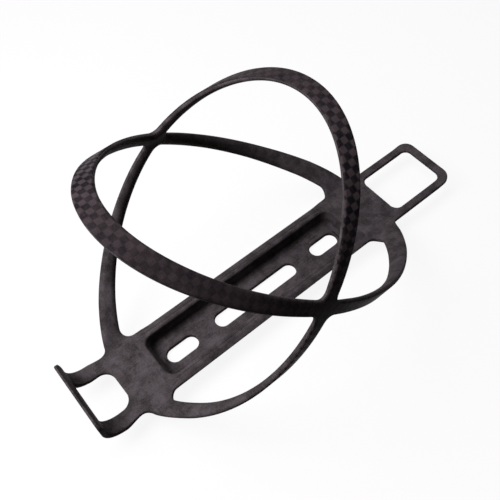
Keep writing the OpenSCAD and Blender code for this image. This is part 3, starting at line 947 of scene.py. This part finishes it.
def pocketPath():
    # Points of the pocket's rounded rectangle, their outward directions, and the points of the
    # plate's rectangle that they reach.
    r, land, side = pocket["cornerR"], pocket["endLand"], pocket["sideLand"]
    x0, x1, y1 = plateLow[0] + land, plateHigh[0] - land, halfW - side
    d = pocket["divide"]
    stops = (x0 + r, -d, d, x1 - r)
    long = np.concatenate([spaced(*pair, rowStep)[:-1] for pair in zip(stops, stops[1:])] + [stops[3:]])
    short = spaced(-(y1 - r), y1 - r, rowStep)
    toSide = np.linspace(0, math.atan2(land + r, side + r), 7)
    depths = np.concatenate([rimSteps, spaced(rimSteps[-1], side + r, 1.2)[1:]])
    toEnd = np.arctan2(side + r - depths, land + r)
    lean = np.concatenate([toSide, math.pi / 2 - toEnd[1:]])[1:-1]     # angle off the long side

    def corner(sx, sy):
        centre = np.array([x1 - r if sx > 0 else x0 + r, sy * (y1 - r)])
        n = np.stack([sx * np.sin(lean), sy * np.cos(lean)], 1)
        reach = np.minimum((land + r) / np.sin(lean), (side + r) / np.cos(lean))[:, None]
        return centre + n * r, n, centre + n * reach

    def straight(x, y, n, gap):
        p = np.stack(np.broadcast_arrays(x, y), 1)
        n = np.broadcast_to(np.array(n, float), p.shape)
        return p, n, p + n * gap

    def back(part):
        return [q[::-1] for q in part]

    right, left = (straight(long, way * y1, (0, way), side) for way in (-1, 1))
    low, high = (straight(x, short, (way, 0), land) for x, way in ((x0, -1), (x1, 1)))
    parts = [right, corner(1, -1), high, back(corner(1, 1)), back(left), corner(-1, 1), back(low),
             back(corner(-1, -1))]
    return [np.concatenate(q) for q in zip(*parts)]


def wallProfile(zLow, zHigh, rLow, rHigh, push, zPush, angle, steps=7):
    # Rings up a wall between two flats: an arc off the lower flat, the straight wall through
    # (push, zPush) at the angle, and an arc on to the upper flat. angle is an array over the path.
    g = np.linspace(0, 1, steps)[:, None] * angle
    tan = np.tan(angle)
    startLow = push + (zLow + rLow * (1 - np.cos(angle)) - zPush) / tan - rLow * np.sin(angle)
    startHigh = push + (zHigh - rHigh * (1 - np.cos(angle)) - zPush) / tan + rHigh * np.sin(angle)
    out = np.concatenate([startLow + rLow * np.sin(g), (startHigh - rHigh * np.sin(g))[::-1]])
    z = np.concatenate([zLow + rLow * (1 - np.cos(g)), (zHigh - rHigh * (1 - np.cos(g)))[::-1]])
    guard = 0.35    # flat rings past both arcs keep the shading clean
    out = np.concatenate([out[:1] - guard, out, out[-1:] + guard])
    z = np.concatenate([z[:1], z, z[-1:]])
    return out, z


def plateRings(path, normal, plateEdge):
    # Rings of points from the pocket's floor up its wall, over the flange, round the plate's edge,
    # back under and down to the underside. Also gives the row whose quads are the plate's edge.
    t = smoothStep(-normal[:, 0])
    angle = np.radians(pocket["wallAngle"] + (pocket["baseAngle"] - pocket["wallAngle"]) * t)
    push = pocket["wallOut"] + (pocket["baseOut"] - pocket["wallOut"]) * t
    faceZ, backZ = flangeZ + thick / 2, flangeZ - thick / 2
    middleZ = (thick + faceZ) / 2
    top = wallProfile(thick, faceZ, pocket["footR"], pocket["rimR"], push, middleZ, angle)
    under = wallProfile(0, backZ, pocket["backR"], pocket["backRimR"],
                        push + thick * np.sin(angle), middleZ - thick * np.cos(angle), angle)

    def wall(profile):
        return np.stack([np.column_stack([path + normal * out[:, None], np.broadcast_to(z, len(path))])
                         for out, z in zip(*profile)])

    def flange(inner, sign):
        # Flat to the plate's edge, where it is rounded. On the bottle's side the long edges slope
        # down by rollDeep (1 - d / rollWide)^rollPower, and a crease follows the pocket's rim.
        reach = halfW - np.abs(inner[:, 1]).max()
        steps = np.concatenate([rimSteps[:-1], pocket["edgeRings"], reach - np.array(pocket["rimRings"])])
        w = 1 - np.sort(np.minimum(steps, reach))[::-1] / reach
        rings = inner[None, :, :2] + (plateEdge - inner[:, :2])[None] * np.clip(w, 0, 1)[:, None, None]
        d = inset(rings.reshape(-1, 2)).reshape(rings.shape[:2])
        h = halfThick(d)
        if sign > 0:
            left = 1 - np.clip(d / pocket["rollWide"], 0, 1)
            roll = thick / 2 - pocket["rollDeep"] * left ** pocket["rollPower"]
            fade = plateHigh[0] - pocket["rollEnd"] - np.abs(rings[..., 0])
            crease = np.abs(reach - d - pocket["grooveIn"]) / pocket["grooveWide"]
            h = h + (roll - h) * smoothStep(fade / pocket["rollFade"])
            h = h - pocket["grooveDeep"] * np.clip(1 - crease, 0, 1)
        return np.concatenate([rings, (flangeZ + sign * h)[..., None]], -1)

    topRings, underRings = wall(top), wall(under)[::-1]
    topFlange, underFlange = flange(topRings[-1], 1), flange(underRings[0], -1)[::-1]
    edgeRow = len(topRings) + len(topFlange) - 1
    return np.concatenate([topRings, topFlange, underFlange, underRings]), edgeRow


def slotCell(cellTop, cellUnder, which):
    # Rings from a part of the pocket's floor in to its slot, down the slot and out below. The slot's
    # outline is every point at half its width from a straight core.
    r, rTop, rBack = slots["width"] / 2, slots["rimR"], slots["backR"]
    a = np.radians(np.linspace(0, 90, 6))
    guard = 0.5     # a flat ring round each rim keeps the shading clean
    outs = np.concatenate([[rTop + guard], rTop * (1 - np.sin(a)), [0.0], rBack * (1 - np.cos(a)),
                           [rBack + guard]])
    zs = np.concatenate([[thick], thick - rTop * (1 - np.cos(a)), [thick / 2], rBack * (1 - np.sin(a)),
                         [0.0]])
    span = (slots["middleLength"] if which == 0 else slots["boltLength"]) - slots["width"]
    middleX = which * slots["pitch"] / 2
    core = np.stack([np.clip(cellTop[:, 0], middleX - span / 2, middleX + span / 2),
                     np.zeros(len(cellTop))], 1)
    way = cellTop[:, :2] - core
    way /= np.linalg.norm(way, axis=1)[:, None]
    rings = [np.column_stack([core + way * (r + o), np.full(len(core), z)]) for o, z in zip(outs, zs)]
    return np.concatenate([[cellTop], rings, [cellUnder]])


def backPlate():
    # The flat back with its pressed pocket and three slots: one closed grid of rings round the
    # pocket, and a grid for each slot that closes its floor.
    path, normal, plateEdge = pocketPath()
    n = len(path)
    stack, edgeRow = plateRings(path, normal, plateEdge)
    faces = gridFaces(len(stack), n, closed=True)
    onSeam = np.abs(plateEdge[:, :1] - [plateHigh[0], plateLow[0]]).min(1) < 1e-6
    flat = np.zeros(len(faces), bool)
    flat[edgeRow * n:(edgeRow + 1) * n] = onSeam & np.roll(onSeam, -1)
    points, allFaces, flags = [stack.reshape(-1, 3)], [faces[:, ::-1]], [flat]

    # The pocket's floor is cut across into three cells, one round each slot.
    sideY, d = halfW - pocket["sideLand"], pocket["divide"]
    at = {(x, y): int(np.argmin(np.abs(path[:, 0] - x * d) + np.abs(path[:, 1] - y * sideY)))
          for x in (-1, 1) for y in (-1, 1)}

    def stretch(rim, first, last):
        return rim[np.arange(at[first], at[last] + 1 + n * (at[last] < at[first])) % n]

    def divider(rim, x, y):
        a, b = rim[at[x, y]], rim[at[x, -y]]
        return (a + (b - a) * np.linspace(0, 1, 18)[:, None])[1:-1]

    def cellLoop(rim, which):
        if which == 0:
            return np.concatenate([stretch(rim, (-1, -1), (1, -1)), divider(rim, 1, -1),
                                   stretch(rim, (1, 1), (-1, 1)), divider(rim, -1, 1)])
        return np.concatenate([stretch(rim, (which, -which), (which, which)), divider(rim, which, which)])

    for which in (-1, 0, 1):
        cell = slotCell(cellLoop(stack[0], which), cellLoop(stack[-1], which), which)
        allFaces.append(gridFaces(*cell.shape[:2], closed=True) + sum(len(p) for p in points))
        flags.append(np.zeros(len(allFaces[-1]), bool))
        points.append(cell.reshape(-1, 3))
    points = np.concatenate(points)
    return addMesh("back_plate_shape", points, points, np.concatenate(allFaces).tolist(),
                   np.concatenate(flags).tolist())


finish(backPlate(), "back_plate", flatLaminate)
print("back plate made")

studio = {
    "floorSize": 6.0,            # m
    "floorWhite": "#f9f9f9",
    "floorShade": "#5c4a40",     # what the floor throws back at the object
    "floorShadow": 0.10,         # how much of its own light and shadow the white floor shows
    "bright": 0.02,              # soft light from the window's side
    "dim": 0.004,                # and from the other
    "window": (-0.5, 0.7, 0.5),
    "windowRange": (-0.5, 0.9),  # cosines between which it grows
    "lampTint": "#fff4fa",
    "lampAim": (0, 0, 0.03),     # m
    "lamps": {                   # place, m, the disk's size, m, and power, W
        "ceiling_lamp": ((-0.03, 0.109, 0.331), 0.2, 0.57),
        "window_lamp": ((-0.19, 0.09, 0.265), 0.2, 1.16),
    },
}


def seenWhite(node):
    # 1 where the background shows as plain white: to the camera, in reflections and through clear things.
    rays = node("LightPath").outputs
    white = node("Math", (rays["Is Camera Ray"], rays["Is Transmission Ray"]), operation="MAXIMUM")
    return node("Math", (white, rays["Is Glossy Ray"]), operation="MAXIMUM")


def addFloor():
    # White paper: a matt sheet that mostly shows plain white and keeps a little of the shadow.
    size = studio["floorSize"] / 2
    mesh = bpy.data.meshes.new("floor")
    corners = [(-size, -size, 0), (size, -size, 0), (size, size, 0), (-size, size, 0)]
    mesh.from_pydata(corners, [], [(0, 1, 2, 3)])
    floor = bpy.data.objects.new("floor", mesh)
    link(floor)
    material, node = newMaterial("white_paper_matt")
    white = seenWhite(node)
    colour = node("Mix", {0: white, 6: linearHex(studio["floorShade"]), 7: linearHex(studio["floorWhite"])},
                  data_type="RGBA")
    paper = node("BsdfPrincipled", {"Base Color": colour.outputs[2], "Roughness": 1.0,
                                    "Specular IOR Level": 0.0})
    glow = node("Emission", {"Color": (1, 1, 1, 1), "Strength": 1.0})
    share = node("Math", (white, 1 - studio["floorShadow"]), operation="MULTIPLY")
    node("OutputMaterial", {"Surface": node("MixShader", (share, paper, glow))})
    floor.data.materials.append(material)


def addWorld():
    # Soft light that grows from dim to bright with the cosine to the window's side.
    world = bpy.data.worlds.new("studio")
    bpy.context.scene.world = world
    world.use_nodes = True
    world.node_tree.nodes.clear()
    node = partial(addNode, world.node_tree)
    way = np.array(studio["window"]) / np.linalg.norm(studio["window"])
    looking = node("TexCoord").outputs["Generated"]
    cosine = node("VectorMath", (looking, way.tolist()), operation="DOT_PRODUCT").outputs["Value"]
    level = node("MapRange", (cosine, *studio["windowRange"], studio["dim"], studio["bright"]), **softly)
    strength = node("Math", (level, seenWhite(node)), operation="MAXIMUM")
    sky = node("Background", {"Color": (1, 1, 1, 1), "Strength": strength})
    node("OutputWorld", {"Surface": sky})


def addLamp(name, at, size, power):
    # A soft disk of light, turned to the object.
    lamp = bpy.data.lights.new(name, "AREA")
    lamp.shape = "DISK"
    lamp.size = size
    lamp.energy = power
    lamp.color = linearHex(studio["lampTint"])[:3]
    back = np.array(at) - studio["lampAim"]
    back /= np.linalg.norm(back)
    sideways = np.cross((0, 0, 1), back)
    sideways /= np.linalg.norm(sideways)
    stand(bpy.data.objects.new(name, lamp), sideways, np.cross(back, sideways), back, at)


addFloor()
addWorld()
for name, settings in studio["lamps"].items():
    addLamp(name, *settings)
bpy.context.scene.view_settings.view_transform = "Standard"
print("floor, world and lamps made")
